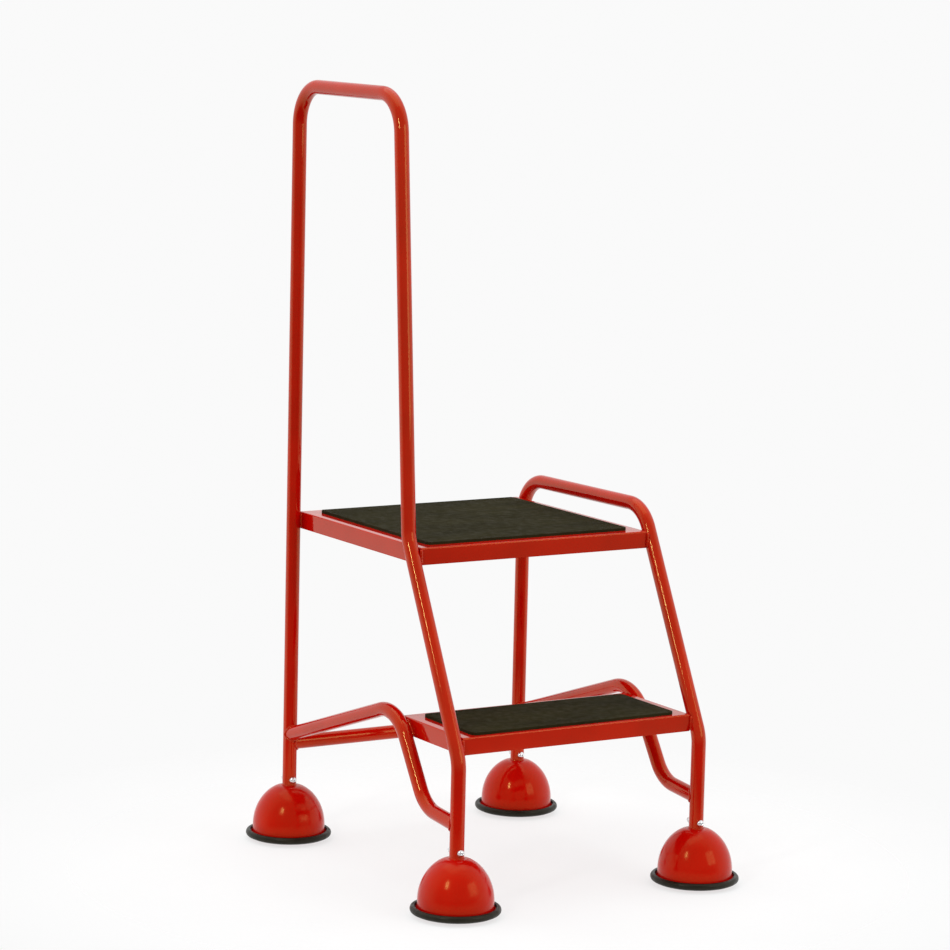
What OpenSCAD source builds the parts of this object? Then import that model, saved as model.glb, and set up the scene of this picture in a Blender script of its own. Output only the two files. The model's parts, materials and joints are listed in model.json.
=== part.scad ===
// Mobile two-tread step with a tall loop handrail and four domed feet.
// Each foot hides a sprung swivel castor: unloaded, the step rolls;
// under a person's weight the castors retract and the rubber rings sit on the floor.
// Millimetres, +Z up. X is across the step, the low front tread faces -Y.
// The origin is on the floor, midway between the four legs.

/* [Overall] */
// Distance between the left and right side frames, tube centre to tube centre
frame_w = 408; // [340:1:520]
// Distance between the rear legs and the front legs, centre to centre
leg_spread = 500; // [420:1:600]
// Height of the platform mat above the floor
platform_h = 508.75; // [440:0.25:560]
// Height of the low tread mat above the floor
step_h = 257.25; // [220:0.25:280]
// Height of the handrail tube centre above the floor
rail_h = 1144.6; // [950:0.1:1250]

/* [Frame tube] */
// Outside diameter of the frame tube
tube_od = 21.3; // [18:0.1:28]
// Wall thickness of the frame tube
tube_wall = 1.5; // [1:0.1:3]
// Centreline radius of the frame bends
bend_r = 57; // [40:1:80]
// Centreline radius of the upper brace bend
brace_bend_r = 65; // [50:1:80]
// Height of the low rail bend corner above the rear right leg
low_rail_h = 533.7; // [500:0.1:580]
// Height of the rear crossbar centre
crossbar_h = 149; // [120:1:200]
// Height of the knee corner in the front legs
knee_h = 221.9; // [190:0.1:250]

/* [Treads] */
// Depth of the tray skirts
skirt = 25; // [15:1:40]
// Sheet thickness of the trays
sheet = 2; // [1:0.1:3]
// Outside radius of the folded tray edges
fold_r = 3; // [2.5:0.5:6]
// Thickness of the rubber mats
mat_t = 4.25; // [2:0.05:6]
// Width of both mats, side to side
mat_w = 342; // [280:1:370]
// Depth of the platform mat, front to rear
platform_mat_d = 326; // [260:1:340]
// Depth of the low tread mat, front to rear
step_mat_d = 143; // [100:1:150]
// Corner radius of the mats
mat_corner = 9; // [4:0.5:16]
// Leg length of the angle stiffener under each tray
stiffener_leg = 20; // [15:1:24]
// Sheet thickness of the stiffeners
stiffener_t = 2.5; // [1.5:0.5:4]
// Platform depth, front to rear
platform_d = 367; // [300:1:420]
// Low tread depth, front to rear
step_d = 172; // [140:1:220]

/* [Feet] */
// Outside radius of the pressed dome
dome_r = 54.8; // [45:0.1:65]
// Height of the dome above its widest line
dome_rise = 64.2; // [50:0.1:75]
// Sheet thickness of the dome
dome_t = 1.5; // [1:0.1:2.5]
// Outside radius of the rubber floor ring
ring_r = 65; // [58:0.5:75]
// Clearance under the rubber ring while the castors carry the step
ring_gap = 4; // [3:0.5:5]
// Height of the cross bolt through each leg
bolt_h = 92.5; // [88:0.5:100]

/* [Castors] */
// Wheel diameter
wheel_d = 36; // [30:1:40]
// Wheel width
wheel_w = 16; // [12:1:20]
// Distance from the swivel axis to the axle
trail = 17; // [12:1:20]
// Radius of the castor stem
stem_r = 5; // [4:0.5:6]
// Radial running clearance of shafts in their bores
run_fit = 0.06; // [0.02:0.01:0.1]
// Radial gap between round pieces that are fixed to each other
seat_gap = 0.05; // [0.02:0.01:0.1]

/* [Hidden] */
$fn = 64;
tube_r = tube_od / 2;
bore_r = tube_r - tube_wall;
cope_r = tube_r + 0.1;
// step in the wall where a straight laps a bend, and the length of that lap
seam = 0.04;
lap = 0.6;
side_x = frame_w / 2;
rear_y = leg_spread / 2;
front_y = -leg_spread / 2;
leg_end_h = 52.5;
tray_hw = side_x - cope_r;
platform_front = -115;
platform_rear = platform_front + platform_d;
step_front = -242;
step_rear = step_front + step_d;
platform_middle = (platform_front + platform_rear) / 2;
step_middle = (step_front + step_rear) / 2;
// the mats sit a little off the middle of their trays
platform_mat_y = platform_middle - 2.5;
step_mat_y = step_middle - 6.5;
// clear of the rolled edges of the tray
stiffener_w = 2 * tray_hw - 2 * fold_r - 1;
platform_top = platform_h - mat_t;
step_top = step_h - mat_t;
// side view corners, as [y, z]
rail_corner_front = [-49.5, rail_h];
post_corner = [-97.1, platform_top + 11.5];
knee_corner = [front_y, knee_h];
low_rail_front = [-85.5, low_rail_h + 4.5];
brace_start = [rear_y, 162.3];
brace_top = [-72.4, 269.4];
brace_low = [-160.9, 137.5];
brace_end = [front_y, 130.2];
dome_z0 = 22.2;
axle_z = wheel_d / 2;
red = [0.72, 0.06, 0.03];
black = [0.06, 0.06, 0.05];
matgrey = [0.17, 0.16, 0.12];
zinc = [0.78, 0.79, 0.8];
steel = [0.55, 0.56, 0.57];
nylon = [0.85, 0.84, 0.8];
feet = [
    [-side_x, front_y],
    [side_x, front_y],
    [-side_x, rear_y],
    [side_x, rear_y]
];

// ---- Helpers ----

// direction of a 2D vector in degrees
function heading(v) = atan2(v[1], v[0]);
function unit(v) = v / norm(v);
function cross2(a, b) = a[0] * b[1] - a[1] * b[0];
function turn(a, b) = acos(unit(a) * unit(b));
// distance from a bend corner to the end of its straight
function reach(p, i, r) =
    (i == 0 || i == len(p) - 1) ? 0
    : r[i] * tan(turn(p[i] - p[i - 1], p[i + 1] - p[i]) / 2);

// straight run of a section between two points of the XY plane
module run(a, b, ro, ri) {
    translate([a[0], a[1], 0])
    rotate([0, 90, heading(b - a)])
    difference() {
        cylinder(r = ro, h = norm(b - a));
        translate([0, 0, -1])
        cylinder(r = ri, h = norm(b - a) + 2);
    }
}

// bend at corner c between the incoming and outgoing directions
// its wall is a hair thinner than the straights, which lap over its ends
module bend(c, u, v, r, ro, ri) {
    s = cross2(u, v) > 0 ? 1 : -1;
    phi = turn(u, v);
    t = r * tan(phi / 2);
    n = [-u[1], u[0]] * s;
    o = c - u * t + n * r;
    a0 = heading(-n) + (s > 0 ? 0 : -phi);
    translate([o[0], o[1], 0])
    rotate([0, 0, a0])
    rotate_extrude(angle = phi)
    translate([r, 0])
    difference() {
        circle(r = ro - seam);
        circle(r = ri + seam);
    }
}

// bent tube through corner points p with a bend radius per corner
module path_tube(p, r, ro, ri) {
    for (i = [0 : len(p) - 2]) {
        u = unit(p[i + 1] - p[i]);
        lap0 = i == 0 ? 0 : lap;
        lap1 = i == len(p) - 2 ? 0 : lap;
        run(
            p[i] + u * (reach(p, i, r) - lap0),
            p[i + 1] - u * (reach(p, i + 1, r) - lap1),
            ro, ri
        );
    }
    for (i = [1 : len(p) - 2])
        bend(p[i], unit(p[i] - p[i - 1]), unit(p[i + 1] - p[i]), r[i], ro, ri);
}

// stand a YZ drawing up at the given X
module side_view(x) {
    translate([x, 0, 0])
    rotate([90, 0, 90])
    children();
}

module at_foot(i) {
    translate([feet[i][0], feet[i][1], 0])
    children();
}

// rectangle with faceted round corners
module round_rect(w, d, r, steps) {
    polygon([
        for (c = [[1, 1, 0], [-1, 1, 90], [-1, -1, 180], [1, -1, 270]])
            for (k = [0 : steps])
                [
                    c[0] * (w / 2 - r) + r * cos(c[2] + 90 * k / steps),
                    c[1] * (d / 2 - r) + r * sin(c[2] + 90 * k / steps)
                ]
    ]);
}

// outline of a folded sheet seen from its end: flat top, rolled upper corners
module fold_outline(w, h, r) {
    polygon(concat(
        [[-w / 2, 0], [w / 2, 0]],
        [for (k = [0 : 5]) [w / 2 - r + r * cos(18 * k), h - r + r * sin(18 * k)]],
        [for (k = [0 : 5]) [-w / 2 + r - r * sin(18 * k), h - r + r * cos(18 * k)]]
    ));
}

// solid block with all four upper edges rolled
module rolled_block(w, d, h, r) {
    intersection() {
        translate([0, d / 2, 0])
        rotate([90, 0, 0])
        linear_extrude(height = d)
        fold_outline(w, h, r);
        translate([-w / 2, 0, 0])
        rotate([90, 0, 90])
        linear_extrude(height = w)
        fold_outline(d, h, r);
    }
}

// tray: flat top with a skirt on every side, open below
module tray(w, d, h) {
    difference() {
        rolled_block(w, d, h, fold_r);
        translate([0, 0, -sheet])
        rolled_block(w - 2 * sheet, d - 2 * sheet, h, fold_r - sheet);
    }
}

module mat(w, d) {
    linear_extrude(height = mat_t)
    round_rect(w, d, mat_corner, 6);
}

// angle section stiffener welded across under a tray
module angle_bar(w, leg, t) {
    translate([-w / 2, 0, 0])
    rotate([90, 0, 90])
    linear_extrude(height = w)
    polygon([[0, 0], [leg, 0], [leg, -t], [t, -t], [t, -leg], [0, -leg]]);
}

// cross bolt holes through the lower ends of two legs of one side frame
module leg_bolt_holes(x) {
    for (y = [front_y, rear_y])
        translate([x, y, bolt_h])
        rotate([90, 0, 0])
        cylinder(r = 3.1, h = 40, center = true);
}

// vertical clearance cylinders where cross tubes meet the legs
module leg_copes(x) {
    for (y = [front_y, rear_y])
        translate([x, y, 90])
        cylinder(r = cope_r, h = 130);
}

// ---- Frame ----

module handrail_frame_tube() {
    color(red)
    difference() {
        side_view(-side_x)
        path_tube(
            [[rear_y, leg_end_h], [rear_y, rail_h], rail_corner_front, post_corner,
             knee_corner, [front_y, leg_end_h]],
            [0, bend_r, bend_r, bend_r, bend_r, 0],
            tube_r, bore_r
        );
        leg_bolt_holes(-side_x);
    }
}

module low_rail_frame_tube() {
    color(red)
    difference() {
        side_view(side_x)
        path_tube(
            [[rear_y, leg_end_h], [rear_y, low_rail_h], low_rail_front,
             knee_corner, [front_y, leg_end_h]],
            [0, bend_r, bend_r, bend_r, 0],
            tube_r, bore_r
        );
        leg_bolt_holes(side_x);
    }
}

// humped brace from the rear leg over to the front leg
module brace(x) {
    color(red)
    difference() {
        side_view(x)
        path_tube(
            [brace_start, brace_top, brace_low, brace_end],
            [0, brace_bend_r, bend_r, 0],
            tube_r, bore_r
        );
        leg_copes(x);
    }
}

module left_brace_tube() brace(-side_x);
module right_brace_tube() brace(side_x);

module rear_crossbar() {
    color(red)
    difference() {
        translate([-side_x, rear_y, crossbar_h])
        rotate([0, 90, 0])
        difference() {
            cylinder(r = tube_r, h = frame_w);
            translate([0, 0, -1])
            cylinder(r = bore_r, h = frame_w + 2);
        }
        leg_copes(-side_x);
        leg_copes(side_x);
    }
}

// ---- Treads ----

module platform_tray() {
    color(red)
    translate([0, platform_middle, platform_top - skirt])
    tray(2 * tray_hw, platform_d, skirt);
}

module platform_stiffener() {
    color(red)
    translate([0, platform_middle, platform_top - sheet])
    angle_bar(stiffener_w, stiffener_leg, stiffener_t);
}

module platform_mat() {
    color(matgrey)
    translate([0, platform_mat_y, platform_top])
    mat(mat_w, platform_mat_d);
}

module step_tray() {
    color(red)
    translate([0, step_middle, step_top - skirt])
    tray(2 * tray_hw, step_d, skirt);
}

module step_stiffener() {
    color(red)
    translate([0, step_middle, step_top - sheet])
    angle_bar(stiffener_w, stiffener_leg, stiffener_t);
}

module step_mat() {
    color(matgrey)
    translate([0, step_mat_y, step_top])
    mat(mat_w, step_mat_d);
}

// ---- Feet ----

// pressed dome with an out-turned rim at its foot
module dome() {
    color(red)
    rotate_extrude()
    polygon(concat(
        [for (k = [0 : 15]) let (a = k * asin(sqrt(1 - pow(cope_r / dome_r, 2))) / 15)
            [dome_r * cos(a), dome_z0 + dome_rise * sin(a)]],
        [for (k = [15 : -1 : 0]) let (
            ri = dome_r - dome_t,
            a = k * asin(sqrt(1 - pow(cope_r / ri, 2))) / 15)
            [ri * cos(a), dome_z0 + (dome_rise - dome_t) * sin(a)]],
        [
            [dome_r - dome_t, 12],
            [dome_r - 0.4, 10],
            [dome_r + 1.8, 9],
            [60.1, 9],
            [60.1, 10.5],
            [dome_r + 2.2, 10.5],
            [dome_r + 0.8, 11.3],
            [dome_r, 13]
        ]
    ));
}

// moulded rubber ring gripping the dome rim
module floor_ring() {
    color(black)
    rotate_extrude()
    polygon([
        [57.6, ring_gap + 0.8],
        [58.6, ring_gap],
        [62.8, ring_gap],
        [ring_r - 0.9, ring_gap + 1],
        [ring_r - 0.2, ring_gap + 2.6],
        [ring_r, ring_gap + 4.5],
        [ring_r, ring_gap + 7.5],
        [ring_r - 0.5, ring_gap + 9.3],
        [ring_r - 1.6, ring_gap + 10.5],
        [ring_r - 3, ring_gap + 11],
        [59.8, ring_gap + 11],
        [58.4, ring_gap + 10.4],
        [57.6, ring_gap + 9],
        [57.6, 10.6],
        [60.2, 10.6],
        [60.2, 8.9],
        [57.6, 8.9]
    ]);
}

// flanged guide bush pressed into the bottom of each leg
module guide_bushes() {
    color(nylon)
    for (i = [0 : 3])
        at_foot(i)
        difference() {
            union() {
                translate([0, 0, leg_end_h])
                cylinder(r = bore_r, h = 15.5);
                translate([0, 0, leg_end_h - 2.3])
                cylinder(r = tube_r, h = 2.3);
            }
            translate([0, 0, leg_end_h - 10])
            cylinder(r = stem_r + run_fit, h = 40);
        }
}

// compression spring between the stem shoulder and the upper plug
module foot_spring() {
    color(steel)
    for (k = [0 : 5])
        translate([0, 0, 72.2 + k * 2.72])
        rotate_extrude()
        translate([6.3, 0])
        circle(r = 0.8, $fn = 24);
}

// plug bearing against the underside of the cross bolt
module spring_plugs() {
    color(zinc)
    for (i = [0 : 3])
        at_foot(i)
        translate([0, 0, bolt_h - 5.6])
        cylinder(r = bore_r - 0.15, h = 2.5);
}

// domed cap screw across each leg, head to the front
module foot_bolts() {
    color(zinc)
    for (i = [0 : 3])
        at_foot(i)
        translate([0, 0, bolt_h])
        rotate([90, 0, 0])
        union() {
            translate([0, 0, -tube_r - 10.2])
            cylinder(r = 3, h = 2 * tube_r + 10.2);
            translate([0, 0, tube_r])
            rotate_extrude()
            polygon([[0, 0], [5.3, 0], [5.3, 1.2], [4.7, 2.6], [3.5, 3.7], [1.9, 4.3], [0, 4.5]]);
        }
}

module foot_nuts() {
    color(zinc)
    for (i = [0 : 3])
        at_foot(i)
        translate([0, tube_r + 5, bolt_h])
        rotate([90, 0, 0])
        difference() {
            cylinder(r = 5.77, h = 5, $fn = 6);
            translate([0, 0, -1])
            cylinder(r = 3, h = 7);
        }
}

// ---- Castors ----

// shouldered stem: thrust flange, guide journal and riveted kingpin in one turning
module castor_stem() {
    color(steel)
    rotate_extrude()
    polygon([
        [0, 35.6],
        [6.6, 35.6],
        [7, 36.2],
        [7, 38.3],
        [4, 38.3],
        [4, 41.2],
        [12, 41.2],
        [12, 43.8],
        [stem_r, 43.8],
        [stem_r, 68.4],
        [4.2, 68.4],
        [4.2, 69.6],
        [stem_r, 69.6],
        [stem_r, 70.1],
        [3, 70.1],
        [3, 79.4],
        [2.4, 80],
        [0, 80]
    ]);
}

// retaining clip and spring seat snapped on the stem groove
module castor_clip() {
    color(zinc)
    translate([0, 0, 68.5])
    difference() {
        cylinder(r = 7.6, h = 1);
        translate([0, 0, -1])
        cylinder(r = 4.25, h = 3);
    }
}

// side cheek of the fork, drawn as [y, z]
module cheek() {
    difference() {
        polygon([
            [-11, 41], [11, 41], [15, 36], [trail + 6.5, 22], [trail + 6.5, 15.5],
            [trail + 3.5, 12.2], [trail - 3.5, 12.2], [trail - 6.5, 15.5], [-11, 35]
        ]);
        translate([trail, axle_z])
        circle(r = 3 + seat_gap);
    }
}

module castor_fork() {
    color(zinc)
    difference() {
        union() {
            for (s = [-1, 1])
                translate([s * (wheel_w / 2 + 2) - 1, 0, 0])
                rotate([90, 0, 90])
                linear_extrude(height = 2)
                cheek();
            translate([-wheel_w / 2 - 1, -11, 38.5])
            cube([wheel_w + 2, 22, 2.5]);
        }
        translate([0, 0, 30])
        cylinder(r = 4 + run_fit, h = 20);
    }
}

module castor_axle() {
    color(zinc)
    translate([0, trail, axle_z])
    rotate([0, 90, 0])
    union() {
        translate([0, 0, -wheel_w / 2 - 3])
        cylinder(r = 3, h = wheel_w + 6);
        for (s = [-1, 1])
            translate([0, 0, s * (wheel_w / 2 + 3.75) - 0.75])
            cylinder(r = 4.6, h = 1.5);
    }
}

module wheel_hub() {
    color(nylon)
    translate([0, trail, axle_z])
    rotate([0, 90, 0])
    rotate_extrude()
    polygon([
        [3 + run_fit, -wheel_w / 2],
        [6, -wheel_w / 2],
        [6, -wheel_w / 2 + 2],
        [11, -wheel_w / 2 + 3],
        [11, -wheel_w / 2 + 1],
        [13.5, -wheel_w / 2 + 1],
        [13.5, wheel_w / 2 - 1],
        [11, wheel_w / 2 - 1],
        [11, wheel_w / 2 - 3],
        [6, wheel_w / 2 - 2],
        [6, wheel_w / 2],
        [3 + run_fit, wheel_w / 2]
    ]);
}

module wheel_tyre() {
    color(black)
    translate([0, trail, axle_z])
    rotate([0, 90, 0])
    rotate_extrude()
    polygon([
        [13.5 + seat_gap, -wheel_w / 2 + 1],
        [wheel_d / 2 - 1.5, -wheel_w / 2 + 1],
        [wheel_d / 2, -wheel_w / 2 + 3],
        [wheel_d / 2, wheel_w / 2 - 3],
        [wheel_d / 2 - 1.5, wheel_w / 2 - 1],
        [13.5 + seat_gap, wheel_w / 2 - 1]
    ]);
}

// ---- Pieces repeated at the four feet ----
module dome_front_left() at_foot(0) dome();
module floor_ring_front_left() at_foot(0) floor_ring();
module foot_spring_front_left() at_foot(0) foot_spring();
module castor_stem_front_left() at_foot(0) castor_stem();
module castor_clip_front_left() at_foot(0) castor_clip();
module castor_fork_front_left() at_foot(0) castor_fork();
module castor_axle_front_left() at_foot(0) castor_axle();
module wheel_hub_front_left() at_foot(0) wheel_hub();
module wheel_tyre_front_left() at_foot(0) wheel_tyre();
module dome_front_right() at_foot(1) dome();
module floor_ring_front_right() at_foot(1) floor_ring();
module foot_spring_front_right() at_foot(1) foot_spring();
module castor_stem_front_right() at_foot(1) castor_stem();
module castor_clip_front_right() at_foot(1) castor_clip();
module castor_fork_front_right() at_foot(1) castor_fork();
module castor_axle_front_right() at_foot(1) castor_axle();
module wheel_hub_front_right() at_foot(1) wheel_hub();
module wheel_tyre_front_right() at_foot(1) wheel_tyre();
module dome_rear_left() at_foot(2) dome();
module floor_ring_rear_left() at_foot(2) floor_ring();
module foot_spring_rear_left() at_foot(2) foot_spring();
module castor_stem_rear_left() at_foot(2) castor_stem();
module castor_clip_rear_left() at_foot(2) castor_clip();
module castor_fork_rear_left() at_foot(2) castor_fork();
module castor_axle_rear_left() at_foot(2) castor_axle();
module wheel_hub_rear_left() at_foot(2) wheel_hub();
module wheel_tyre_rear_left() at_foot(2) wheel_tyre();
module dome_rear_right() at_foot(3) dome();
module floor_ring_rear_right() at_foot(3) floor_ring();
module foot_spring_rear_right() at_foot(3) foot_spring();
module castor_stem_rear_right() at_foot(3) castor_stem();
module castor_clip_rear_right() at_foot(3) castor_clip();
module castor_fork_rear_right() at_foot(3) castor_fork();
module castor_axle_rear_right() at_foot(3) castor_axle();
module wheel_hub_rear_right() at_foot(3) wheel_hub();
module wheel_tyre_rear_right() at_foot(3) wheel_tyre();

// ---- Draw list ----
handrail_frame_tube();
low_rail_frame_tube();
left_brace_tube();
right_brace_tube();
rear_crossbar();
platform_tray();
platform_stiffener();
platform_mat();
step_tray();
step_stiffener();
step_mat();
dome_front_left();
floor_ring_front_left();
foot_spring_front_left();
dome_front_right();
floor_ring_front_right();
foot_spring_front_right();
dome_rear_left();
floor_ring_rear_left();
foot_spring_rear_left();
dome_rear_right();
floor_ring_rear_right();
foot_spring_rear_right();
guide_bushes();
spring_plugs();
foot_bolts();
foot_nuts();
castor_stem_front_left();
castor_clip_front_left();
castor_fork_front_left();
castor_axle_front_left();
wheel_hub_front_left();
wheel_tyre_front_left();
castor_stem_front_right();
castor_clip_front_right();
castor_fork_front_right();
castor_axle_front_right();
wheel_hub_front_right();
wheel_tyre_front_right();
castor_stem_rear_left();
castor_clip_rear_left();
castor_fork_rear_left();
castor_axle_rear_left();
wheel_hub_rear_left();
wheel_tyre_rear_left();
castor_stem_rear_right();
castor_clip_rear_right();
castor_fork_rear_right();
castor_axle_rear_right();
wheel_hub_rear_right();
wheel_tyre_rear_right();
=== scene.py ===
"""Looks for the two-tread mobile step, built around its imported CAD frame.

Everything is in metres in the CAD row frame: +X to the low rail side, +Y to the rear, +Z up.
"""

import json
import math
import random

import bmesh
import bpy
from mathutils import Matrix, Vector


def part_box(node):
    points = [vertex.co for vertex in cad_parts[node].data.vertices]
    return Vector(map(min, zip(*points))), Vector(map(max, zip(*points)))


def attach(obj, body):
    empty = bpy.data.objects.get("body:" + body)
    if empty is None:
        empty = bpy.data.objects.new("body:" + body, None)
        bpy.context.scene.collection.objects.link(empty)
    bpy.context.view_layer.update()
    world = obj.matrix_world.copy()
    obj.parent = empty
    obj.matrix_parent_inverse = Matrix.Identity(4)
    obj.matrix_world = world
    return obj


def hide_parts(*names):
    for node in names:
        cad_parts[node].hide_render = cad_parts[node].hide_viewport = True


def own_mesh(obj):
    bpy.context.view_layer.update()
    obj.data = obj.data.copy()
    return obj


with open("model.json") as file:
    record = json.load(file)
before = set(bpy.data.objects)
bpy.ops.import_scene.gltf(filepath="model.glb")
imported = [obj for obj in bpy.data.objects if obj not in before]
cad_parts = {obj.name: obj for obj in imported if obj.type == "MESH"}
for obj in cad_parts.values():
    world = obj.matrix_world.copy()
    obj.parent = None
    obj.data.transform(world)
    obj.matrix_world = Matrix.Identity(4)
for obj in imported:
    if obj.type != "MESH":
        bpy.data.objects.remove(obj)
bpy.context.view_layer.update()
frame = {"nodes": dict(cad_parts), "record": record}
random.seed(7)

# ---- Driving dimensions ----
MM = 0.001
X, Y, Z = Vector((1, 0, 0)), Vector((0, 1, 0)), Vector((0, 0, 1))

# Read from the frame, apart from the tube's wall and bend and the sheet, which are the CAD's
tall_low, tall_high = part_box("handrail_frame_tube")
low_low, low_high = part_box("low_rail_frame_tube")
TUBE_R = (tall_high.x - tall_low.x) / 2
TUBE_WALL = 1.5 * MM
SIDE_X = (low_high.x + low_low.x) / 2
LEG_Y = tall_high.y - TUBE_R
LEG_END = tall_low.z
RAIL_TOP = tall_high.z - TUBE_R
BEND_R = 57 * MM
platform_low, platform_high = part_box("platform_tray")
step_low, step_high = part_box("step_tray")
SHEET = 2 * MM
SIDES = {"left": -SIDE_X, "right": SIDE_X}
FEET = {
    "front_left": Vector((-SIDE_X, -LEG_Y, 0)),
    "front_right": Vector((SIDE_X, -LEG_Y, 0)),
    "rear_left": Vector((-SIDE_X, LEG_Y, 0)),
    "rear_right": Vector((SIDE_X, LEG_Y, 0)),
}

# Side view corners as (Y, Z), the CAD's own: where straight stretches would meet without bends
KNEE = (-LEG_Y, 0.2219)
FRONT_FOOT = (-LEG_Y, LEG_END)
REAR_FOOT = (LEG_Y, LEG_END)
POST_CORNER = (-0.0971, 0.516)
RAIL_FRONT = (-0.0495, RAIL_TOP)
LOW_RAIL_REAR = (LEG_Y, 0.5337)
LOW_RAIL_FRONT = (-0.0855, 0.5382)
BRACE = [(LEG_Y, 0.1623), (-0.0724, 0.2694), (-0.1609, 0.1375), (-LEG_Y, 0.1302)]
BRACE_BENDS = [0, 65 * MM, BEND_R, 0]

# Heights of the crossbar's axis and of the bolts
CROSSBAR_Z = 0.149
BOLT_Z = 0.0925


# ---- Mesh helpers ----
def mesh_object(name, vertices, faces, sharp_angle=32):
    """A closed mesh with outward normals, smooth except at edges sharper than sharp_angle."""
    data = bpy.data.meshes.new(name)
    data.from_pydata([tuple(v) for v in vertices], [], faces)
    shape = bmesh.new()
    shape.from_mesh(data)
    bmesh.ops.remove_doubles(shape, verts=shape.verts, dist=1e-6)
    bmesh.ops.recalc_face_normals(shape, faces=shape.faces)
    finish_shape(shape, data, sharp_angle)
    made = bpy.data.objects.new(name, data)
    bpy.context.scene.collection.objects.link(made)
    return made


def finish_shape(shape, data, sharp_angle):
    """Smooth shading except at edges sharper than sharp_angle, then writes the mesh."""
    for face in shape.faces:
        face.smooth = True
    for edge in shape.edges:
        if len(edge.link_faces) == 2:
            edge.smooth = edge.calc_face_angle(0) < math.radians(sharp_angle)
    shape.to_mesh(data)
    shape.free()


def grid_faces(rows, columns, closed_rows):
    """Quads between rings of points; closed_rows also joins the last ring to the first."""
    faces = []
    for i in range(rows if closed_rows else rows - 1):
        j = (i + 1) % rows
        for k in range(columns):
            m = (k + 1) % columns
            faces.append((i * columns + k, i * columns + m, j * columns + m, j * columns + k))
    return faces


def filleted(corners, radii, step=3.0):
    """Points along a polyline in a plane with arcs at its corners, one every step degrees in a bend."""
    corners = [Vector(c) for c in corners]
    points = [corners[0]]
    for before, corner, after, radius in zip(corners, corners[1:], corners[2:], radii[1:]):
        into = (corner - before).normalized()
        out = (after - corner).normalized()
        turn = math.acos(max(-1, min(1, into.dot(out))))
        reach = radius * math.tan(turn / 2)
        middle = corner + (out - into).normalized() * (radius / math.cos(turn / 2))
        start = corner - into * reach - middle
        sense = 1 if into.x * out.y - into.y * out.x > 0 else -1
        count = max(2, round(math.degrees(turn) / step))
        for k in range(count + 1):
            spin = Matrix.Rotation(sense * turn * k / count, 2)
            points.append(middle + spin @ start)
    points.append(corners[-1])
    return points


def tangents_of(points, closed=False):
    """Unit directions of a line at each of its points."""
    count = len(points)
    result = []
    for i in range(count):
        before = points[i - 1] if i or closed else points[i]
        after = points[(i + 1) % count] if i < count - 1 or closed else points[i]
        result.append((after - before).normalized())
    return result


def ring(centre, tangent, side, radius, count):
    """Points of a circle round a path, starting at the side direction."""
    across = (side - tangent * side.dot(tangent)).normalized()
    over = tangent.cross(across)
    turns = [2 * math.pi * k / count for k in range(count)]
    return [centre + (across * math.cos(a) + over * math.sin(a)) * radius for a in turns]


def tube(name, path, wall=TUBE_WALL, radius=TUBE_R, count=64):
    """A round tube with a real wall, swept along a path that lies in a plane facing X."""
    tangents = tangents_of(path)
    vertices = []
    for centre, tangent in zip(path, tangents):
        vertices += ring(centre, tangent, X, radius, count)
    for centre, tangent in reversed(list(zip(path, tangents))):
        vertices += ring(centre, tangent, X, radius - wall, count)
    return mesh_object(name, vertices, grid_faces(2 * len(path), count, True))


def hexagon(angle):
    """Radius of a unit hexagon, measured to its flats, at an angle."""
    sector = math.pi / 3
    return 1 / math.cos((angle % sector) - sector / 2)


def turned(name, rows, count=96, place=Vector(), axis="Z", closed=True, sharp_angle=32):
    """A shape made by rings: each row is (radius, height) or (radius, height, "hex")."""
    spin = {"Z": Matrix(), "X": Matrix.Rotation(math.pi / 2, 4, "Y"),
            "-Y": Matrix.Rotation(math.pi / 2, 4, "X")}[axis]
    vertices = []
    for row in rows:
        for k in range(count):
            angle = 2 * math.pi * k / count
            radius = row[0] * (hexagon(angle) if len(row) > 2 else 1)
            point = Vector((radius * math.cos(angle), radius * math.sin(angle), row[1]))
            vertices.append(place + spin @ point)
    return mesh_object(name, vertices, grid_faces(len(rows), count, closed), sharp_angle)


def arc(middle, radius, start, end, count=8, squash=1.0):
    """Points of an arc in a profile, from start to end degrees; squash scales its height."""
    angles = [math.radians(start + (end - start) * k / count) for k in range(count + 1)]
    return [
        (middle[0] + radius * math.cos(a), middle[1] + radius * squash * math.sin(a))
        for a in angles
    ]


def resampled(points, spacing, closed=False):
    """The same line with evenly spaced points."""
    line = points + ([points[0]] if closed else [])
    lengths = [(b - a).length for a, b in zip(line, line[1:])]
    total = sum(lengths)
    count = max(4, round(total / spacing))
    result = []
    segment, travelled = 0, 0.0
    for k in range(count if closed else count + 1):
        target = total * k / count
        while segment < len(lengths) - 1 and travelled + lengths[segment] < target:
            travelled += lengths[segment]
            segment += 1
        share = (target - travelled) / max(lengths[segment], 1e-9)
        result.append(line[segment].lerp(line[segment + 1], min(1, share)))
    return result


# Points along one puddle, and the bead's radius between puddles as a share of its size
PUDDLE_STEPS = 5
PUDDLE_VALLEY = 0.76


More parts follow.
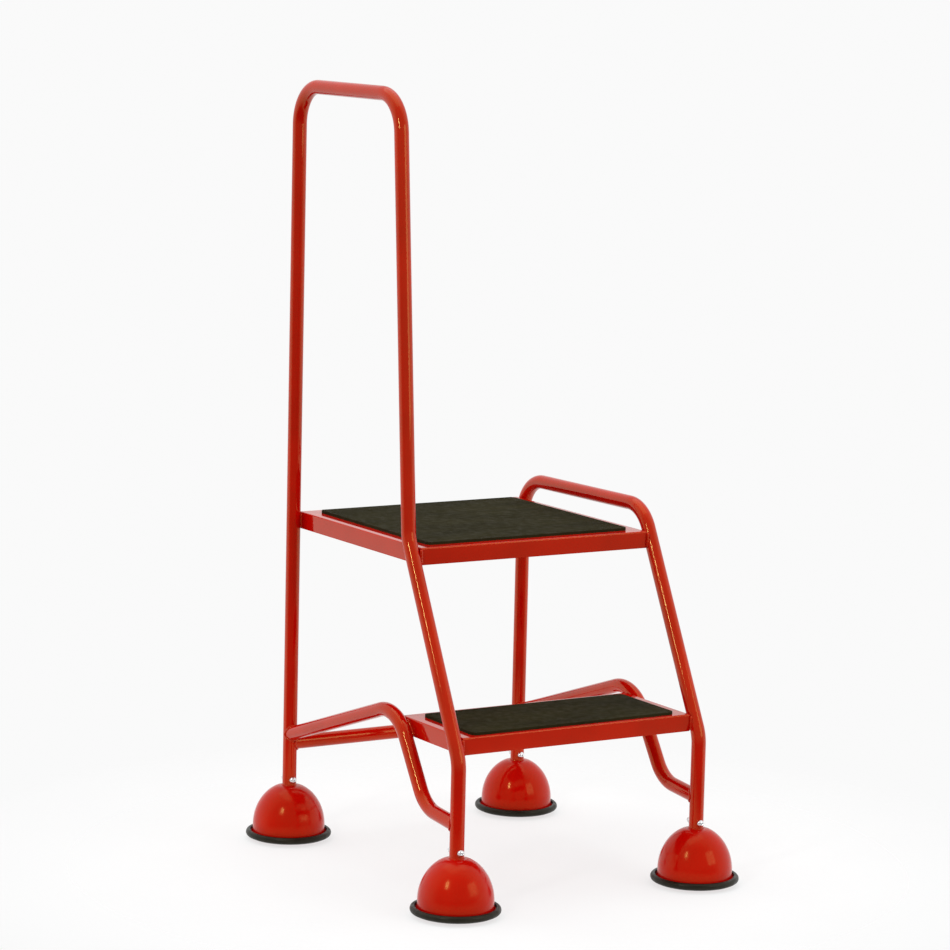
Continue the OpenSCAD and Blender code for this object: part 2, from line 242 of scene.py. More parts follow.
def bead(name, points, outward, size=2.0 * MM, closed=False, ripple=1.7 * MM):
    """A weld bead along a line: overlapping puddles one ripple long, each a little uneven."""
    fine = resampled(points, ripple / PUDDLE_STEPS, closed)
    tangents = tangents_of(fine, closed)
    count = 12
    vertices = []
    swell = 1.0
    for i, (centre, tangent) in enumerate(zip(fine, tangents)):
        if i % PUDDLE_STEPS == 0:
            swell = random.uniform(0.9, 1.08)
        phase = (i % PUDDLE_STEPS) / PUDDLE_STEPS
        radius = size * swell * (PUDDLE_VALLEY + (1 - PUDDLE_VALLEY) * math.sqrt(1 - phase * phase))
        if not closed:
            end = min(i, len(fine) - 1 - i) / 4
            radius *= math.sqrt(min(1.0, 0.25 + end * 0.75))
        side = outward(centre)
        vertices += ring(centre, tangent, side, radius, count)
    faces = grid_faces(len(fine), count, closed)
    if not closed:
        last = len(vertices) - count
        faces.append(tuple(range(count)))
        faces.append(tuple(range(last, last + count)))
    return mesh_object(name, vertices, faces, sharp_angle=50)


def away_from(point):
    """For a bead: the direction from a point to each place on the bead."""
    return lambda place: place - point


def away_from_axis(point):
    """The same for a bead round an upright axis through a point: always level."""
    return lambda place: Vector((place.x - point.x, place.y - point.y, 0))


def saddle(base, direction, count=72, clearance=0.5 * MM):
    """The line where a tube that starts on a vertical leg's axis comes out of the leg."""
    flat = Vector((direction.x, direction.y, 0))
    ahead = flat.normalized()
    side = Z.cross(ahead)
    normal = side.cross(direction).normalized()
    leg_r = TUBE_R + clearance
    points = []
    for k in range(count):
        angle = 2 * math.pi * k / count
        across, over = TUBE_R * math.cos(angle), TUBE_R * math.sin(angle)
        along = math.sqrt(leg_r * leg_r - across * across) - over * normal.dot(ahead)
        points.append(base + side * across + normal * over + direction * (along / flat.length))
    return points


# ---- Node material helpers ----
class Nodes:
    """Short ways to add and join shader nodes in one material."""

    def __init__(self, name):
        self.material = bpy.data.materials.new(name)
        self.material.use_nodes = True
        self.tree = self.material.node_tree
        self.shader = self.tree.nodes["Principled BSDF"]
        self.place = self.add("ShaderNodeTexCoord").outputs["Object"]

    def add(self, kind, **settings):
        made = self.tree.nodes.new(kind)
        for key, value in settings.items():
            setattr(made, key, value)
        return made

    def join(self, source, target):
        self.tree.links.new(source, target)

    def stretch(self, scale):
        made = self.add("ShaderNodeMapping")
        made.inputs["Scale"].default_value = scale
        self.join(self.place, made.inputs["Vector"])
        return made.outputs["Vector"]

    def noise(self, scale, detail=3.0, roughness=0.5, place=None):
        made = self.add("ShaderNodeTexNoise")
        made.inputs["Scale"].default_value = scale
        made.inputs["Detail"].default_value = detail
        made.inputs["Roughness"].default_value = roughness
        self.join(place or self.place, made.inputs["Vector"])
        return made.outputs["Fac"]

    def spread(self, value, low, high, to_low, to_high):
        made = self.add("ShaderNodeMapRange")
        for key, number in zip(("From Min", "From Max", "To Min", "To Max"),
                               (low, high, to_low, to_high)):
            made.inputs[key].default_value = number
        self.join(value, made.inputs["Value"])
        return made.outputs["Result"]

    def blend(self, factor, first, second):
        """Mixes two colours; each is a colour or another node's output."""
        made = self.add("ShaderNodeMix", data_type="RGBA")
        self.join(factor, made.inputs["Factor"])
        for key, colour in (("A", first), ("B", second)):
            slot = [s for s in made.inputs if s.name == key and s.type == "RGBA"][0]
            if isinstance(colour, tuple):
                slot.default_value = (*colour, 1)
            else:
                self.join(colour, slot)
        return [s for s in made.outputs if s.type == "RGBA"][0]

    def bump(self, height, distance, strength=1.0, over=None):
        made = self.add("ShaderNodeBump")
        made.inputs["Distance"].default_value = distance
        made.inputs["Strength"].default_value = strength
        self.join(height, made.inputs["Height"])
        if over is not None:
            self.join(over, made.inputs["Normal"])
        return made.outputs["Normal"]

    def set(self, **values):
        for key, value in values.items():
            socket = self.shader.inputs[key.replace("_", " ")]
            if hasattr(value, "is_linked"):
                self.join(value, socket)
            else:
                socket.default_value = value
        return self.material


WARM_SHINE = (1.0, 0.8, 0.25, 1)


def enamel(name, smooth, dull, ripple, shine):
    """Red stoving enamel: faint flow marks, orange peel and fine handling scuffs.

    smooth and dull are its lowest and highest roughness, ripple the height of its slow waves
    in metres, and shine its specular level.
    """
    n = Nodes(name)
    flow = n.noise(14, 2)
    deep_red, bright_red, scuffed_red = (0.44, 0.0014, 0.0004), (0.50, 0.0026, 0.0008), (0.5, 0.05, 0.03)
    colour = n.blend(n.spread(flow, 0.35, 0.65, 0, 1), deep_red, bright_red)
    scuffs = n.spread(n.noise(260, 6, 0.7, n.stretch((1, 1, 0.12))), 0.66, 0.78, 0, 1)
    worn = n.spread(n.noise(22, 3), 0.55, 0.72, 0, 0.22)
    mask = n.add("ShaderNodeMath", operation="MULTIPLY")
    n.join(scuffs, mask.inputs[0])
    n.join(worn, mask.inputs[1])
    colour = n.blend(mask.outputs[0], colour, scuffed_red)
    base_rough = n.spread(n.noise(38, 4), 0.3, 0.7, smooth, dull)
    rough = n.add("ShaderNodeMath", operation="ADD")
    n.join(base_rough, rough.inputs[0])
    n.join(mask.outputs[0], rough.inputs[1])
    waves = n.bump(n.noise(26, 1), ripple)
    peel = n.bump(n.noise(620, 2), 0.004 * MM, over=waves)
    return n.set(Base_Color=colour, Roughness=rough.outputs[0], Normal=peel, IOR=1.5,
                 Specular_IOR_Level=shine, Specular_Tint=WARM_SHINE)


def mat_rubber():
    """Matt rubber with a little dust and trodden patches; the ribs are in the mesh."""
    n = Nodes("mat_rubber")
    patches = n.spread(n.noise(18, 5, 0.6, n.stretch((0.35, 1, 1))), 0.35, 0.7, 0, 1)
    colour = n.blend(patches, (0.012, 0.0102, 0.0022), (0.022, 0.0190, 0.0050))
    dust = n.spread(n.noise(420, 5, 0.65), 0.6, 0.8, 0, 0.35)
    colour = n.blend(dust, colour, (0.06, 0.052, 0.03))
    rough = n.spread(n.noise(90, 4), 0.3, 0.7, 0.62, 0.9)
    grain = n.bump(n.noise(2600, 3), 0.00006)
    return n.set(Base_Color=colour, Roughness=rough, Normal=grain, IOR=1.45, Specular_IOR_Level=0.2,
                 Specular_Tint=(1.0, 0.92, 0.6, 1))


def ring_rubber():
    """Moulded black rubber with a soft shine and scuffed patches."""
    n = Nodes("ring_rubber")
    scuffed = n.spread(n.noise(70, 5, 0.65), 0.45, 0.75, 0, 1)
    colour = n.blend(scuffed, (0.0045, 0.0036, 0.0018), (0.012, 0.0105, 0.006))
    rough = n.spread(n.noise(110, 4), 0.3, 0.7, 0.3, 0.52)
    grain = n.bump(n.noise(1500, 3), 0.00005)
    return n.set(Base_Color=colour, Roughness=rough, Normal=grain, IOR=1.4, Specular_IOR_Level=0.35,
                 Specular_Tint=(1.0, 0.95, 0.75, 1))


def castor_tyre():
    """Grey-black tyre, paler where it has run on the floor."""
    n = Nodes("castor_tyre")
    floor_dust = n.spread(n.noise(140, 5, 0.6), 0.4, 0.7, 0, 1)
    colour = n.blend(floor_dust, (0.018, 0.018, 0.019), (0.05, 0.047, 0.042))
    rough = n.spread(n.noise(200, 3), 0.3, 0.7, 0.5, 0.8)
    grain = n.bump(n.noise(1800, 3), 0.00006)
    return n.set(Base_Color=colour, Roughness=rough, Normal=grain)


def nylon():
    """Moulded natural nylon with a faint mould texture."""
    n = Nodes("nylon")
    tone = n.spread(n.noise(60, 3), 0.35, 0.65, 0, 1)
    colour = n.blend(tone, (0.66, 0.63, 0.55), (0.74, 0.72, 0.65))
    rough = n.spread(n.noise(160, 3), 0.3, 0.7, 0.35, 0.5)
    grain = n.bump(n.noise(1400, 2), 0.00004)
    return n.set(Base_Color=colour, Roughness=rough, Normal=grain, Subsurface_Weight=0.08)


def metal(name, dark, light, smooth, dull, lines=(1, 1, 1), line_depth=0.02 * MM):
    """Bare or plated metal: tone patches, uneven polish and fine tool lines."""
    n = Nodes(name)
    tone = n.spread(n.noise(120, 4, 0.6), 0.35, 0.68, 0, 1)
    colour = n.blend(tone, dark, light)
    rough = n.spread(n.noise(240, 4), 0.3, 0.7, smooth, dull)
    tool_marks = n.bump(n.noise(900, 3, 0.5, n.stretch(lines)), line_depth)
    return n.set(Base_Color=colour, Roughness=rough, Normal=tool_marks, Metallic=1.0)


materials = {
    "red_enamel": enamel("red_enamel", smooth=0.03, dull=0.08, ripple=0.03 * MM, shine=0.5),
    "dome_enamel": enamel("dome_enamel", smooth=0.12, dull=0.22, ripple=0.6 * MM, shine=0.25),
    "mat_rubber": mat_rubber(),
    "ring_rubber": ring_rubber(),
    "castor_tyre": castor_tyre(),
    "nylon": nylon(),
    "spring_steel": metal("spring_steel", (0.2, 0.19, 0.18), (0.32, 0.31, 0.3), 0.3, 0.45),
    "turned_steel": metal("turned_steel", (0.4, 0.4, 0.4), (0.52, 0.52, 0.52), 0.2, 0.36,
                          lines=(0.05, 0.05, 3), line_depth=0.03 * MM),
    "zinc_plate": metal("zinc_plate", (0.66, 0.67, 0.68), (0.84, 0.85, 0.86), 0.16, 0.34),
}

# Every CAD node takes its slot's material, and shows unless a piece below replaces it
for part in frame["record"]["subparts"]:
    node = frame["nodes"][part["node"]]
    node.data.materials.clear()
    node.data.materials.append(materials[part["material_slot"]])


def fitted(piece, slot, body, *nodes):
    """Gives a piece its material, body and the CAD nodes that it stands for."""
    piece.data.materials.append(materials[slot])
    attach(piece, body)
    if nodes:
        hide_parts(*nodes)
    return piece


# ---- Bent tube side frames, braces and crossbar ----
def side_path(x, corners, radii):
    """A bent tube's axis at one side, from its side view corners and bend radii."""
    return [Vector((x, p.x, p.y)) for p in filleted(corners, radii)]


tall_path = side_path(
    -SIDE_X,
    [REAR_FOOT, (LEG_Y, RAIL_TOP), RAIL_FRONT, POST_CORNER, KNEE, FRONT_FOOT],
    [0, BEND_R, BEND_R, BEND_R, BEND_R, 0],
)
low_path = side_path(
    SIDE_X,
    [REAR_FOOT, LOW_RAIL_REAR, LOW_RAIL_FRONT, KNEE, FRONT_FOOT],
    [0, BEND_R, BEND_R, BEND_R, 0],
)
fitted(tube("tall_side_frame", tall_path), "red_enamel", "frame", "handrail_frame_tube")
fitted(tube("low_side_frame", low_path), "red_enamel", "frame", "low_rail_frame_tube")


def brace_ends():
    """Unit directions in which a brace leaves the rear leg and the front leg."""
    rear = Vector((0, BRACE[1][0] - BRACE[0][0], BRACE[1][1] - BRACE[0][1])).normalized()
    front = Vector((0, BRACE[2][0] - BRACE[3][0], BRACE[2][1] - BRACE[3][1])).normalized()
    return rear, front


for hand, x in SIDES.items():
    path = side_path(x, BRACE, BRACE_BENDS)
    fitted(tube(f"{hand}_brace", path), "red_enamel", "frame", f"{hand}_brace_tube")
    for where, (y, z), way in zip(("rear", "front"), (BRACE[0], BRACE[3]), brace_ends()):
        base = Vector((x, y, z))
        weld = bead(f"{hand}_brace_{where}_weld", saddle(base, way), away_from(base), closed=True)
        fitted(weld, "red_enamel", "frame")


def crossbar():
    """The rear crossbar, a straight tube let into both rear legs."""
    ends = [Vector((s * (SIDE_X - TUBE_R * 0.4), LEG_Y, CROSSBAR_Z)) for s in (-1, 1)]
    count = 64
    rings = [(ends[0], TUBE_R), (ends[1], TUBE_R), (ends[1], TUBE_R - TUBE_WALL),
             (ends[0], TUBE_R - TUBE_WALL)]
    vertices = [p for centre, r in rings for p in ring(centre, X, Y, r, count)]
    return mesh_object("rear_crossbar_tube", vertices, grid_faces(4, count, True))


fitted(crossbar(), "red_enamel", "frame", "rear_crossbar")
for hand, x in SIDES.items():
    base = Vector((x, LEG_Y, CROSSBAR_Z))
    inward = Vector((-math.copysign(1, x), 0, 0))
    weld = bead(f"{hand}_crossbar_weld", saddle(base, inward), away_from(base), closed=True)
    fitted(weld, "red_enamel", "frame")


# ---- Folded trays ----
def tray(name, low, high, fold=2.2 * MM, corner=1.6 * MM):
    """A sheet tray open below, with rolled top edges and tighter folded corners."""
    data = bpy.data.meshes.new(name)
    shape = bmesh.new()
    size = high - low
    middle = (high + low) / 2
    bmesh.ops.create_cube(shape, size=1, matrix=Matrix.Translation(middle) @ Matrix.Diagonal((*size, 1)))
    under = [f for f in shape.faces if f.normal.z < -0.5]
    bmesh.ops.delete(shape, geom=under, context="FACES")
    upright = [e for e in shape.edges if abs(e.verts[0].co.z - e.verts[1].co.z) > size.z / 2]
    bmesh.ops.bevel(shape, geom=upright, offset=corner, segments=3, profile=0.5, affect="EDGES")
    top = [e for e in shape.edges if min(v.co.z for v in e.verts) > high.z - 1e-6]
    rim = [e for e in top if len(e.link_faces) == 2 and abs(e.calc_face_angle(0)) > 1]
    bmesh.ops.bevel(shape, geom=rim, offset=fold, segments=5, profile=0.5, affect="EDGES")
    bmesh.ops.recalc_face_normals(shape, faces=shape.faces)
    if max(shape.faces, key=lambda f: f.calc_area()).normal.z < 0:
        bmesh.ops.reverse_faces(shape, faces=shape.faces)
    finish_shape(shape, data, 60)
    made = bpy.data.objects.new(name, data)
    bpy.context.scene.collection.objects.link(made)
    wall = made.modifiers.new("sheet", "SOLIDIFY")
    wall.thickness = SHEET
    wall.offset = -1
    wall.use_even_offset = True
    flat = made.modifiers.new("even_shading", "WEIGHTED_NORMAL")
    flat.keep_sharp = True
    return made


fitted(tray("platform_sheet", platform_low, platform_high), "red_enamel", "frame", "platform_tray")
fitted(tray("step_sheet", step_low, step_high), "red_enamel", "frame", "step_tray")


def slice_at(path, z, near_y):
    """Where a tube's axis passes height z nearest near_y, and its slant's stretch of a level cut."""
    found = []
    for a, b in zip(path, path[1:]):
        if min(a.z, b.z) <= z <= max(a.z, b.z) and abs(a.z - b.z) > 1e-9:
            share = (z - a.z) / (b.z - a.z)
            y = a.y + share * (b.y - a.y)
            found.append((abs(y - near_y), y, (b - a).length / abs(b.z - a.z)))
    return min(found)[1:]


# How far a bead's line stands off the metal, and how far it stops short of a tray's edges
WELD_GAP = 0.8 * MM
WELD_FOOT = 1.5 * MM
WELD_HEAD = 2.5 * MM


def corner_line(sign, low, high, face_y, outward):
    """Line of a bead up a tray's corner, where the leg stands against it."""
    x = sign * (high.x + 0.4 * MM)
    y = face_y + outward * WELD_GAP
    return [Vector((x, y, low.z + WELD_FOOT)), Vector((x, y, high.z - WELD_HEAD))]


def side_groove(sign, path, low, high, near_y, outward):
    """Line of a bead between a tray's side face and the tube that passes beside it."""
    off_axis = SIDE_X - high.x - WELD_GAP
    across = math.sqrt((TUBE_R + WELD_GAP) ** 2 - off_axis ** 2)
    points = []
    steps = 6
    for k in range(steps + 1):
        z = low.z + WELD_FOOT + (high.z - low.z - WELD_FOOT - WELD_HEAD) * k / steps
        axis_y, stretch = slice_at(path, z, near_y)
        points.append(Vector((sign * (high.x + WELD_GAP), axis_y + outward * across * stretch, z)))
    return points


def tray_weld(name, line):
    """One of the wider beads that hold a tray to the side frames."""
    weld = bead(name, line, lambda place: X, size=2.6 * MM, ripple=2.4 * MM)
    fitted(weld, "red_enamel", "frame")


BRACE_SIDE_Y = step_high.y - 20 * MM
platform = (platform_low, platform_high)
step = (step_low, step_high)
side_frames = {"left": tall_path, "right": low_path}
for hand, x in SIDES.items():
    sign = math.copysign(1, x)
    leg = side_frames[hand]
    brace_line = side_path(x, BRACE, BRACE_BENDS)
    front_y, rear_y = platform_low.y, platform_high.y
    tray_weld(f"platform_{hand}_front_weld", corner_line(sign, *platform, front_y, -1))
    tray_weld(f"platform_{hand}_rear_weld", corner_line(sign, *platform, rear_y, 1))
    tray_weld(f"platform_{hand}_side_weld", side_groove(sign, leg, *platform, LEG_Y, -1))
    tray_weld(f"platform_{hand}_post_weld", side_groove(sign, leg, *platform, front_y, 1))
    tray_weld(f"step_{hand}_front_weld", corner_line(sign, *step, step_low.y, -1))
    tray_weld(f"step_{hand}_leg_weld", side_groove(sign, leg, *step, step_low.y, 1))
    for where, outward in (("front", -1), ("rear", 1)):
        groove = side_groove(sign, brace_line, *step, BRACE_SIDE_Y, outward)
        tray_weld(f"step_{hand}_brace_{where}_weld", groove)


# ---- Ribbed rubber mats ----
# Half widths of a rib at its foot, shoulder and crown, as shares of the pitch
RIB_FOOT, RIB_SHOULDER, RIB_CROWN = 0.36, 0.27, 0.15


def rib_profile(low, high, pitch, depth):
    """(Y, Z) points across a fine ribbed mat: rounded ribs that run from side to side."""
    count = round((high.y - low.y) / pitch)
    pitch = (high.y - low.y) / count
    points = [(low.y, high.z - depth)]
    for i in range(count):
        middle = low.y + (i + 0.5) * pitch
        points += [
            (middle - RIB_FOOT * pitch, high.z - depth),
            (middle - RIB_SHOULDER * pitch, high.z - 0.25 * depth),
            (middle - RIB_CROWN * pitch, high.z),
            (middle + RIB_CROWN * pitch, high.z),
            (middle + RIB_SHOULDER * pitch, high.z - 0.25 * depth),
            (middle + RIB_FOOT * pitch, high.z - depth),
        ]
    points.append((high.y, high.z - depth))
    return points


def ribbed_mat(name, low, high, pitch=3.2 * MM, depth=1.0 * MM, corner=9 * MM):
    """A mat cut from ribbed rubber sheet with rounded corners, closed all round."""
    profile = rib_profile(low, high, pitch, depth)
    middle_y, middle_x = (low.y + high.y) / 2, (low.x + high.x) / 2
    half_y, half_x = (high.y - low.y) / 2, (high.x - low.x) / 2
    vertices = []
    for y, z in profile:
        past = max(0.0, abs(y - middle_y) - (half_y - corner))
        reach = half_x - corner + math.sqrt(max(0.0, corner * corner - past * past))
        for x, height in ((-reach, z), (reach, z), (reach, low.z), (-reach, low.z)):
            vertices.append(Vector((middle_x + x, y, height)))
    faces = grid_faces(len(profile), 4, False)
    last = 4 * (len(profile) - 1)
    faces += [(0, 1, 2, 3), (last, last + 1, last + 2, last + 3)]
    return mesh_object(name, vertices, faces, sharp_angle=45)


for name in ("platform_mat", "step_mat"):
    fitted(ribbed_mat(f"{name}_ribbed", *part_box(name)), "mat_rubber", "frame", name)


# ---- Feet ----
DOME_R = 54.8 * MM
DOME_RISE = 64.2 * MM
DOME_BASE = 22.2 * MM
DOME_WALL = 1.5 * MM
# The crown is pressed slightly flat round the leg
CROWN_DIP = 1.6 * MM
CROWN_REACH = 12 * MM


def crown_dipped(points, hole):
    """A dome's curve with its crown pressed down, most at the hole and not at all past the reach."""
    return [(r, z - CROWN_DIP * max(0, 1 - (r - hole) / CROWN_REACH) ** 2) for r, z in points]


def dome_profile():
    """Pressed dome from the hole round the leg down to its out-turned rim, and back inside."""
    inner_r, inner_rise = DOME_R - DOME_WALL, DOME_RISE - DOME_WALL
    hole = TUBE_R + 0.1 * MM
    top = math.degrees(math.acos(hole / DOME_R))
    inner_top = math.degrees(math.acos(hole / inner_r))
    outside = arc((0, DOME_BASE), DOME_R, top, 0, 40, DOME_RISE / DOME_R)
    inside = arc((0, DOME_BASE), inner_r, 0, inner_top, 40, inner_rise / inner_r)
    neck_out = [(54.8, 14), (55.3, 12), (56.4, 10.9), (58, 10.5)]
    flange = [(59.7, 10.5), (60.1, 10.2), (60.1, 9.3), (59.7, 9)]
    neck_in = [(56.6, 9), (54.6, 9.9), (53.5, 11.6), (53.3, 14)]
    rim = [(r * MM, z * MM) for r, z in neck_out + flange + neck_in]
    return crown_dipped(outside, hole) + rim + crown_dipped(inside, hole)


def ring_profile(low, high, outer):
    """Moulded ring: fat rounded outside, a lip over the dome's rim and a slot that grips it."""
    bulge_r, bulge_height = 4.6 * MM, 6.1 * MM
    slot_r = outer - 4.4 * MM
    slot_top, slot_floor = low + 6.9 * MM, low + 4.7 * MM
    body = arc((outer - bulge_r, low + bulge_height), bulge_r, -80, 75, 14, 1.06)
    lip = [(outer - 4.6 * MM, high - 0.35 * MM), (outer - 5.6 * MM, high),
           (outer - 6.6 * MM, high - 0.3 * MM), (outer - 7.0 * MM, high - 1.2 * MM),
           (outer - 7.0 * MM, slot_top)]
    slot = [(slot_r, slot_top), (slot_r, slot_floor)]
    foot = [(outer - 7.2 * MM, slot_floor), (outer - 7.4 * MM, low + 0.9 * MM), (outer - 6.4 * MM, low)]
    return body + lip + slot + foot


def threaded(name, radius, length, place, pitch=1.0 * MM, depth=0.45 * MM, count=36):
    """A screw shank from place towards +Y with a real helical thread and a chamfered end."""
    steps_per_turn, chamfer = 8, 0.7 * MM
    steps = int(length / pitch * steps_per_turn)
    vertices = []
    for i in range(steps + 1):
        along = length * i / steps
        for k in range(count):
            angle = 2 * math.pi * k / count
            wave = abs(((along / pitch - k / count) % 1) * 2 - 1)
            r = min(radius - depth * wave, radius - chamfer + (length - along) * 0.9)
            vertices.append(place + Vector((r * math.cos(angle), along, r * math.sin(angle))))
    faces = grid_faces(steps + 1, count, False)
    last = steps * count
    faces += [tuple(range(count)), tuple(range(last, last + count))]
    return mesh_object(name, vertices, faces, sharp_angle=40)


def domed_head(name, place, radius=5.3 * MM, height=4.3 * MM):
    """A domed screw head that faces the front, with a hexagon socket."""
    edge, socket, pole = 0.5 * MM, 1.6 * MM, 0.2 * MM
    crown = arc((0, edge), radius, 0, 68, 12, (height - edge) / radius)
    rows = [(pole, 0), (radius - 0.3 * MM, 0), (radius, edge)] + crown[1:]
    rows += [(socket + 0.15 * MM, height - 0.3 * MM, "hex"), (socket, height - 0.5 * MM, "hex"),
             (socket, height - 2.2 * MM, "hex"), (pole, height - 2.6 * MM)]
    return turned(name, rows, 72, place, "-Y")


def hexagon_nut(name, place, flats=10 * MM, height=5 * MM, bore=3.05 * MM):
    """A nut with chamfered corners, its near face at place and its bore along Y."""
    end_r, flat_r, chamfer = flats / 2 * 1.02, flats / 2 * 0.985, 0.55 * MM
    rows = [(bore, 0), (end_r, 0), (flat_r, chamfer, "hex"),
            (flat_r, height - chamfer, "hex"), (end_r, height), (bore, height)]
    return turned(name, [(row[0], -row[1], *row[2:]) for row in rows], 72, place, "-Y")


def wheel_tyre_profile(radius, half_width):
    """Tyre section: a slightly crowned tread, rounded shoulders and a step down to the hub."""
    shoulder = 3 * MM
    hub_r, inset = radius - 4.9 * MM, 0.5 * MM
    right = arc((radius - shoulder - 0.2 * MM, half_width - shoulder), shoulder, 90, 0, 8)
    crown = [(radius, 0.0)]
    left = [(r, -z) for r, z in reversed(right)]
    inner = [(hub_r, -half_width + inset), (hub_r, half_width - inset)]
    return right + crown + left + inner


for foot, place in FEET.items():
    dome = turned(f"{foot}_foot_dome", dome_profile(), 128, place)
    fitted(dome, "dome_enamel", "frame", f"dome_{foot}")

    ring_low, ring_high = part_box(f"floor_ring_{foot}")
    ring_out = (ring_high.x - ring_low.x) / 2
    rubber = turned(f"{foot}_foot_ring", ring_profile(ring_low.z, ring_high.z, ring_out), 128, place)
    fitted(rubber, "ring_rubber", "frame", f"floor_ring_{foot}")

    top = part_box(f"dome_{foot}")[1].z - CROWN_DIP
    circle = [place + Vector((math.cos(a) * TUBE_R, math.sin(a) * TUBE_R, top))
              for a in (math.radians(5 * k) for k in range(72))]
    weld = bead(f"{foot}_dome_weld", circle, away_from_axis(place),
                size=1.2 * MM, closed=True, ripple=1.4 * MM)
    fitted(weld, "red_enamel", "frame")


# Spring wire, its number of turns, and the part of a turn that lies flat at each end
WIRE_R = 0.8 * MM
SPRING_TURNS = 5.6
END_TURN = 0.3


def coil_spring(foot, place, low, high):
    """Compression spring with flat end turns, in the box of its CAD stand-in."""
    coil_r = (high.x - low.x) / 2 - WIRE_R
    height = high.z - low.z - 2 * WIRE_R
    steps, count = 180, 12
    path = []
    for k in range(steps + 1):
        turns = SPRING_TURNS * k / steps
        rise = min(1, max(0, (turns - END_TURN) / (SPRING_TURNS - 2 * END_TURN)))
        angle = 2 * math.pi * turns
        level = low.z + WIRE_R + height * rise
        path.append(place + Vector((coil_r * math.cos(angle), coil_r * math.sin(angle), level)))
    vertices = []
    for centre, tangent in zip(path, tangents_of(path)):
        outward = Vector((centre.x - place.x, centre.y - place.y, 0))
        vertices += ring(centre, tangent, outward, WIRE_R, count)
    faces = grid_faces(len(path), count, False)
    faces += [tuple(range(count)), tuple(range(steps * count, (steps + 1) * count))]
    return mesh_object(f"{foot}_coil_spring", vertices, faces)


for foot, place in FEET.items():
    low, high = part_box(f"foot_spring_{foot}")
    spring = coil_spring(foot, place, low, high)
    fitted(spring, "spring_steel", "frame", f"foot_spring_{foot}")
    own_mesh(spring)


# How far a bolt reaches in front of its leg's axis and behind it, and its shank's start in the head
bolts_low, bolts_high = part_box("foot_bolts")
BOLT_FRONT = -LEG_Y - bolts_low.y
BOLT_BACK = bolts_high.y - LEG_Y
SHANK_R = 3 * MM
SHANK_START = TUBE_R + 0.5 * MM
heads = []
for foot, place in FEET.items():
    front = place + Vector((0, -TUBE_R, BOLT_Z))
    head = domed_head(f"{foot}_bolt_head", front, height=BOLT_FRONT - TUBE_R)
    fitted(head, "zinc_plate", "frame")
    shank_at = place + Vector((0, -SHANK_START, BOLT_Z))
    shank = threaded(f"{foot}_bolt_shank", SHANK_R, BOLT_BACK + SHANK_START, shank_at)
    fitted(shank, "zinc_plate", "frame")
    nut = hexagon_nut(f"{foot}_nut", place + Vector((0, TUBE_R + 0.05 * MM, BOLT_Z)))
    fitted(nut, "zinc_plate", "frame")
    heads += [head, nut]
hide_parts("foot_bolts")
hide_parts("foot_nuts")

for foot in FEET:
    tyre_low, tyre_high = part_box(f"wheel_tyre_{foot}")
    middle = (tyre_low + tyre_high) / 2
    radius = (tyre_high.z - tyre_low.z) / 2
    half = (tyre_high.x - tyre_low.x) / 2
    tyre = turned(f"{foot}_wheel_tyre", wheel_tyre_profile(radius, half), 96, middle, "X")
    fitted(tyre, "castor_tyre", f"wheel_{foot}", f"wheel_tyre_{foot}")


# ---- Studio: floor, light and camera ----
# Distances from the middle where the floor starts to fade and where it is gone
FADE_START, FADE_END = 0.45, 0.85


def floor():
    """A pale floor disc that fades into the backdrop with distance, and is clear from below."""
    count, radius, rings = 96, 3.2, 24
    vertices = []
    for i in range(1, rings + 1):
        for k in range(count):
            angle = 2 * math.pi * k / count
            vertices.append(Vector((math.cos(angle), math.sin(angle), 0)) * radius * i / rings)
    vertices.append(Vector())
    faces = [face[::-1] for face in grid_faces(rings, count, False)]
    faces += [(k, (k + 1) % count, rings * count) for k in range(count)]
    data = bpy.data.meshes.new("floor")
    data.from_pydata([tuple(v) for v in vertices], [], faces)
    made = bpy.data.objects.new("floor", data)
    bpy.context.scene.collection.objects.link(made)
    n = Nodes("pale_floor")
    tone = n.spread(n.noise(3, 2), 0.3, 0.7, 0, 1)
    grey = n.blend(tone, (0.24, 0.24, 0.24), (0.26, 0.26, 0.26))
    n.set(Base_Color=grey, Roughness=0.8, IOR=1.1, Emission_Color=(1, 1, 1, 1), Emission_Strength=0.7)
    length = n.add("ShaderNodeVectorMath", operation="LENGTH")
    n.join(n.place, length.inputs[0])
    fade = n.add("ShaderNodeMath", operation="MULTIPLY")
    n.join(n.spread(length.outputs["Value"], FADE_START, FADE_END, 1, 0), fade.inputs[0])
    underside = n.add("ShaderNodeNewGeometry").outputs["Backfacing"]
    n.join(n.spread(underside, 0, 1, 1, 0), fade.inputs[1])
    n.set(Alpha=fade.outputs[0])
    data.materials.append(n.material)


# Brightness of the world: to the camera and behind the object, at its sides, and in front of
# it from below and from above. BEHIND points from the camera past the object.
BACKDROP = 0.955
SIDE_LIGHT = 1.2
FRONT_LOW, FRONT_HIGH = 0.1, 0.62
BEHIND = (0.52, 0.86, 0)


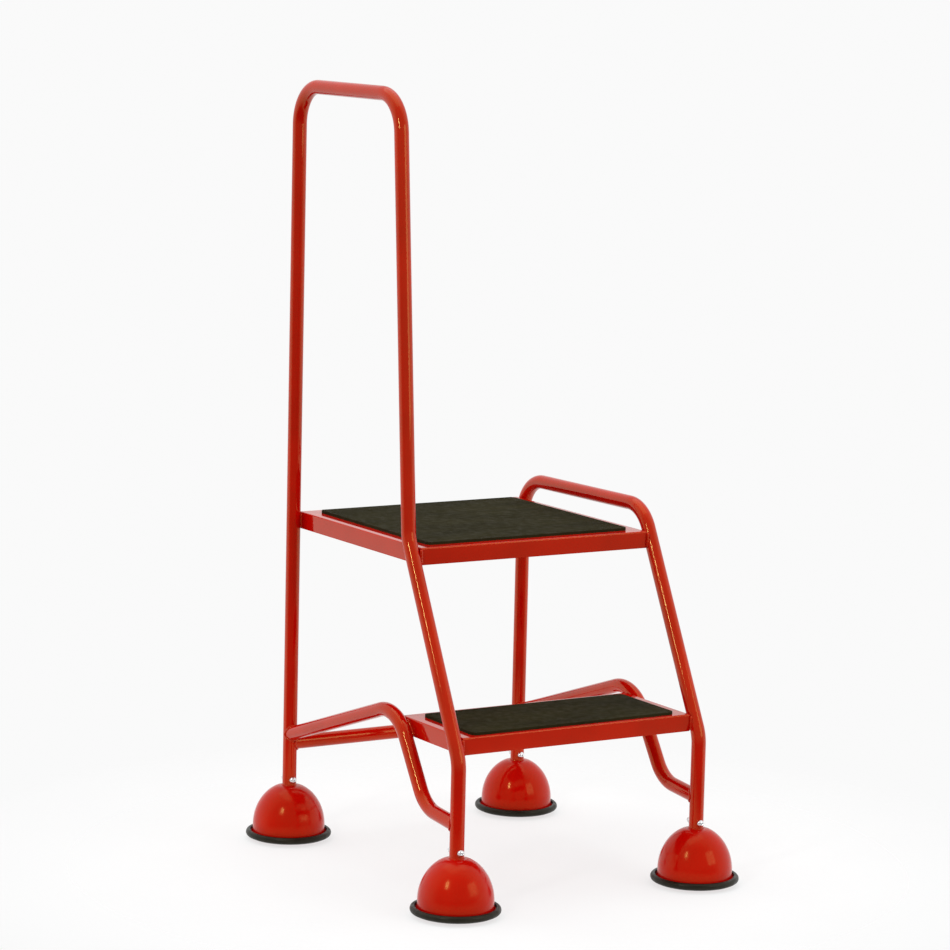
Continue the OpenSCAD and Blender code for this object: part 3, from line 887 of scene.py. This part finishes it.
def studio_world():
    """Plain pale backdrop to the camera; its light is brightest at the sides and dim in front."""
    world = bpy.data.worlds.new("studio")
    bpy.context.scene.world = world
    world.use_nodes = True
    tree = world.node_tree
    background = tree.nodes["Background"]
    place = tree.nodes.new("ShaderNodeTexCoord")

    def lobe(way, start, full, low, high):
        """A value that goes smoothly from low to high as a direction turns towards way."""
        facing = tree.nodes.new("ShaderNodeVectorMath")
        facing.operation = "DOT_PRODUCT"
        facing.inputs[1].default_value = Vector(way).normalized()
        tree.links.new(place.outputs["Generated"], facing.inputs[0])
        fall = tree.nodes.new("ShaderNodeMapRange")
        fall.interpolation_type = "SMOOTHSTEP"
        for key, value in (("From Min", start), ("From Max", full), ("To Min", low), ("To Max", high)):
            if hasattr(value, "is_linked"):
                tree.links.new(value, fall.inputs[key])
            else:
                fall.inputs[key].default_value = value
        tree.links.new(facing.outputs["Value"], fall.inputs["Value"])
        return fall.outputs["Result"]

    front = lobe(Z, -0.35, 0.2, FRONT_LOW, FRONT_HIGH)
    sides = lobe(BEHIND, -0.6, -0.1, front, SIDE_LIGHT)
    light = lobe(BEHIND, 0.2, 0.75, sides, BACKDROP)
    rays = tree.nodes.new("ShaderNodeLightPath")
    seen = tree.nodes.new("ShaderNodeMix")
    tree.links.new(rays.outputs["Is Camera Ray"], seen.inputs["Factor"])
    tree.links.new(light, seen.inputs["A"])
    seen.inputs["B"].default_value = BACKDROP
    tree.links.new(seen.outputs["Result"], background.inputs["Strength"])
    background.inputs["Color"].default_value = (1, 1, 1, 1)


def soft_light(name, place, aim, size, power):
    """A rectangular area light that faces a point; power is in watts."""
    data = bpy.data.lights.new(name, "AREA")
    data.shape = "RECTANGLE"
    data.size, data.size_y = size
    data.energy = power
    made = bpy.data.objects.new(name, data)
    made.location = place
    made.rotation_euler = (Vector(aim) - Vector(place)).to_track_quat("-Z", "Y").to_euler()
    bpy.context.scene.collection.objects.link(made)


# The camera's place in metres, and its lens and sensor in millimetres
CAMERA_PLACE = Vector((-2.7787, -4.5321, 1.3554))
CAMERA_TURN = math.radians(-31.17)
CAMERA_DIP = math.radians(8.27)
CAMERA_ROLL = math.radians(1.33)
CAMERA_LENS = 137.97
CAMERA_SENSOR = 36


def camera():
    """The photo's own viewpoint, as it was fitted to the object."""
    data = bpy.data.cameras.new("camera")
    data.sensor_width = CAMERA_SENSOR
    data.lens = CAMERA_LENS
    data.clip_end = 200
    made = bpy.data.objects.new("camera", data)
    ahead = Vector((-math.sin(CAMERA_TURN) * math.cos(CAMERA_DIP),
                    math.cos(CAMERA_TURN) * math.cos(CAMERA_DIP), -math.sin(CAMERA_DIP)))
    level = Vector((math.cos(CAMERA_TURN), math.sin(CAMERA_TURN), 0))
    over = level.cross(ahead)
    right = level * math.cos(CAMERA_ROLL) + over * math.sin(CAMERA_ROLL)
    up = over * math.cos(CAMERA_ROLL) - level * math.sin(CAMERA_ROLL)
    turn = Matrix((right, up, -ahead)).transposed().to_4x4()
    made.matrix_world = Matrix.Translation(CAMERA_PLACE) @ turn
    bpy.context.scene.collection.objects.link(made)
    bpy.context.scene.camera = made


floor()
studio_world()
soft_light("key", place=(-2.3, -1.2, 1.9), aim=(0, 0, 0.4), size=(0.25, 0.8), power=16)
soft_light("top", place=(0, 0.4, 3.0), aim=(0, 0, 0.3), size=(2.5, 2.5), power=14)
soft_light("front", place=(1.3, -3.0, 1.5), aim=(0, 0, 0.4), size=(1.6, 1.6), power=18)
camera()
scene = bpy.context.scene
scene.view_settings.view_transform = "Standard"
scene.view_settings.look = "None"

bpy.context.view_layer.update()
